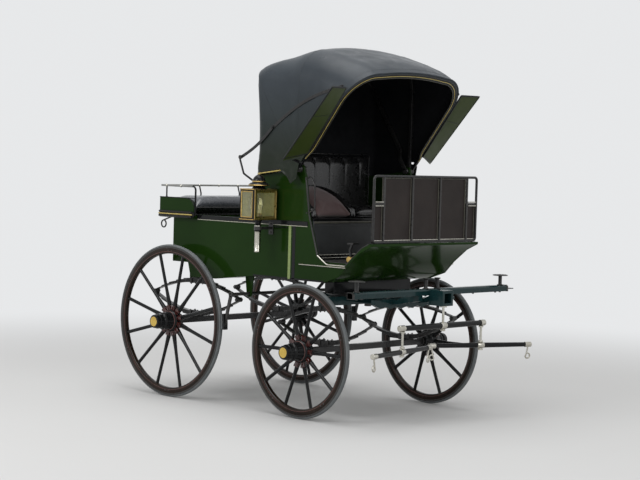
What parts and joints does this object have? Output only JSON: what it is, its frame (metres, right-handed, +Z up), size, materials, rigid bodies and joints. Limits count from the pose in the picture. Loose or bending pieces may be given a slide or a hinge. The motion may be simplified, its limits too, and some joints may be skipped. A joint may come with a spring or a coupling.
{
  "type": "demi mail phaeton",
  "caption": "Four-wheeled horse carriage with a folding hood over the driving seat, an open rear seat, side springs and a turntable.",
  "frame": {"origin": "on the ground at the middle of the carriage's box", "axes": "+X forwards to the horses, +Y to the driver's left, +Z up"},
  "size_m": [2.7854, 1.72, 2.567],
  "materials": {
    "teal_paint": "gloss coach paint",
    "black_iron": "black painted iron",
    "nickel": "nickel plate",
    "black_paint": "gloss black paint on wood, red lining",
    "grey_rubber": "matt grey rubber",
    "green_paint": "deep green varnished coach paint with gold and cream lining",
    "brass": "polished brass; the lamp doors' panes are glass",
    "black_leather": "black leather",
    "seat_cloth": "brown purple box cloth, leather edges",
    "dash_leather": "dark brown patent leather",
    "hood_leather": "navy black hood leather",
    "flap_leather": "black outside, green cloth inside"
  },
  "bodies": {
    "carriage": {"body_floor": "green_paint", "body_side_left": "green_paint", "body_side_right": "green_paint", "rear_panel": "green_paint", "seat_back_panel": "green_paint", "seat_deck": "black_paint", "seat_fall": "black_leather", "toe_board": "black_paint", "rear_seat_frame": "green_paint", "rear_rail": "black_iron", "rear_cushion": "black_leather", "front_cushion": "black_leather", "wedge_cushion": "seat_cloth", "back_squab": "black_leather", "dash_frame": "black_iron", "dash_leather": "dash_leather", "lamp_left": "black_iron", "lamp_right": "black_iron", "top_bed": "black_iron", "kingbolt": "black_iron", "rear_spring_left": "black_iron", "rear_spring_right": "black_iron", "hood_leather_rear": "hood_leather"},
    "turntable": {"front_bed": "teal_paint", "ring_lower": "black_iron", "splinter_bar": "teal_paint", "pole_socket": "teal_paint", "tree_bolt": "nickel", "front_spring_left": "black_iron", "front_spring_right": "black_iron"},
    "front_axle": {"front_axle": "black_iron"},
    "rear_axle": {"rear_axle": "black_iron"},
    "main_tree": {"main_swingletree": "black_paint", "tree_link_left": "nickel", "tree_link_right": "nickel"},
    "hood_front": {"hood_bow_front": "black_iron", "hood_leather_front": "hood_leather", "hood_wing_left": "flap_leather", "hood_wing_right": "flap_leather"},
    "hood_mid": {"hood_bow_mid": "black_iron"},
    "hood_rear": {"hood_bow_rear": "black_iron"},
    "brake_pedal": {"brake_pedal": "brass"},
    "brake_shaft": {"brake_shaft": "black_iron"},
    "wheel_front_left": {"wheel_front_left": "black_paint", "tyre_front_left": "grey_rubber"},
    "wheel_rear_left": {"wheel_rear_left": "black_paint", "tyre_rear_left": "grey_rubber"},
    "wheel_front_right": {"wheel_front_right": "black_paint", "tyre_front_right": "grey_rubber"},
    "wheel_rear_right": {"wheel_rear_right": "black_paint", "tyre_rear_right": "grey_rubber"},
    "single_tree_left": {"single_tree_left": "black_paint"},
    "single_tree_right": {"single_tree_right": "black_paint"},
    "iron_lower_left": {"hood_iron_lower_left": "black_iron"},
    "iron_upper_left": {"hood_iron_upper_left": "black_iron"},
    "iron_lower_right": {"hood_iron_lower_right": "black_iron"},
    "iron_upper_right": {"hood_iron_upper_right": "black_iron"},
    "lamp_door_left": {"lamp_door_left": "brass"},
    "lamp_door_right": {"lamp_door_right": "brass"}
  },
  "joints": [
    {"name": "steer", "type": "hinge", "parent": "carriage", "child": "turntable", "pos_m": [0.51635, -0.025, 0.463], "axis": [0, 0, 1], "range_deg": [-24, 24]},
    {"name": "front_axle_rise", "type": "slide", "parent": "turntable", "child": "front_axle", "axis": [0, 0, 1], "range_m": [0, 0.015], "stiffness_N_per_m": 40000, "springref_m": -0.06, "deforming": ["front_spring_left", "front_spring_right"]},
    {"name": "rear_axle_rise", "type": "slide", "parent": "carriage", "child": "rear_axle", "axis": [0, 0, 1], "range_m": [0, 0.03], "stiffness_N_per_m": 40000, "springref_m": -0.06, "deforming": ["rear_spring_left", "rear_spring_right"]},
    {"name": "main_tree_swing", "type": "hinge", "parent": "turntable", "child": "main_tree", "pos_m": [1.21635, -0.025, 0.667], "axis": [0, 0, 1], "range_deg": [-10, 10]},
    {"name": "wheel_front_left_turn", "type": "hinge", "parent": "front_axle", "child": "wheel_front_left", "pos_m": [0.51635, 0.65, 0.463], "axis": [0, 1, 0], "continuous": true},
    {"name": "wheel_rear_left_turn", "type": "hinge", "parent": "rear_axle", "child": "wheel_rear_left", "pos_m": [-0.83265, 0.65, 0.56], "axis": [0, 1, 0], "continuous": true},
    {"name": "wheel_front_right_turn", "type": "hinge", "parent": "front_axle", "child": "wheel_front_right", "pos_m": [0.51635, -0.7, 0.463], "axis": [0, 1, 0], "continuous": true},
    {"name": "wheel_rear_right_turn", "type": "hinge", "parent": "rear_axle", "child": "wheel_rear_right", "pos_m": [-0.83265, -0.7, 0.56], "axis": [0, 1, 0], "continuous": true},
    {"name": "single_tree_left_swing", "type": "hinge", "parent": "main_tree", "child": "single_tree_left", "pos_m": [1.21635, 0.387, 0.51], "axis": [0, 0, 1], "range_deg": [-20, 20]},
    {"name": "single_tree_right_swing", "type": "hinge", "parent": "main_tree", "child": "single_tree_right", "pos_m": [1.21635, -0.437, 0.51], "axis": [0, 0, 1], "range_deg": [-20, 20]},
    {"name": "hood_fold", "type": "hinge", "parent": "carriage", "child": "hood_front", "pos_m": [0.36635, -0.025, 1.705], "axis": [0, -1, 0], "range_deg": [0, 88], "deforming": ["hood_leather_front", "hood_leather_rear"]},
    {"name": "hood_mid_fold", "type": "hinge", "parent": "carriage", "child": "hood_mid", "pos_m": [0.36635, -0.025, 1.705], "axis": [0, -1, 0], "range_deg": [0, 67.1]},
    {"name": "hood_rear_fold", "type": "hinge", "parent": "carriage", "child": "hood_rear", "pos_m": [0.36635, -0.025, 1.705], "axis": [0, -1, 0], "range_deg": [0, 52.2]},
    {"name": "iron_lower_left_turn", "type": "hinge", "parent": "carriage", "child": "iron_lower_left", "pos_m": [-0.18365, 0.5753, 1.776], "axis": [0, -1, 0], "range_deg": [0, 203.6]},
    {"name": "iron_upper_left_turn", "type": "hinge", "parent": "hood_front", "child": "iron_upper_left", "pos_m": [0.78135, 0.5753, 2.27], "axis": [0, -1, 0], "range_deg": [-37.5, 0]},
    {"name": "iron_lower_right_turn", "type": "hinge", "parent": "carriage", "child": "iron_lower_right", "pos_m": [-0.18365, -0.6253, 1.776], "axis": [0, -1, 0], "range_deg": [0, 203.6]},
    {"name": "iron_upper_right_turn", "type": "hinge", "parent": "hood_front", "child": "iron_upper_right", "pos_m": [0.78135, -0.6253, 2.27], "axis": [0, -1, 0], "range_deg": [-37.5, 0]},
    {"name": "lamp_door_left_swing", "type": "hinge", "parent": "carriage", "child": "lamp_door_left", "pos_m": [0.16635, 0.56, 1.4515], "axis": [0, 0, -1], "range_deg": [0, 90]},
    {"name": "lamp_door_right_swing", "type": "hinge", "parent": "carriage", "child": "lamp_door_right", "pos_m": [0.16635, -0.61, 1.4515], "axis": [0, 0, 1], "range_deg": [0, 90]},
    {"name": "brake_pedal_push", "type": "hinge", "parent": "carriage", "child": "brake_pedal", "pos_m": [0.75135, -0.465, 1.098], "axis": [0, 1, 0], "range_deg": [0, 20], "stiffness_Nm_per_rad": 15, "springref_deg": -17.19},
    {"name": "brake_shaft_turn", "type": "hinge", "parent": "carriage", "child": "brake_shaft", "pos_m": [-0.18365, -0.025, 0.8], "axis": [0, 1, 0], "range_deg": [0, 2]}
  ],
  "couplings": [
    {"joint": "hood_mid_fold", "follows": "hood_fold", "ratio": 0.7614},
    {"joint": "hood_rear_fold", "follows": "hood_fold", "ratio": 0.5909},
    {"joint": "brake_shaft_turn", "follows": "brake_pedal_push", "ratio": 0.093},
    {"joint": "iron_lower_left_turn", "follows": "hood_fold", "ratio": 2.3125},
    {"joint": "iron_upper_left_turn", "follows": "hood_fold", "ratio": -0.425},
    {"joint": "iron_lower_right_turn", "follows": "hood_fold", "ratio": 2.3125},
    {"joint": "iron_upper_right_turn", "follows": "hood_fold", "ratio": -0.425}
  ]
}
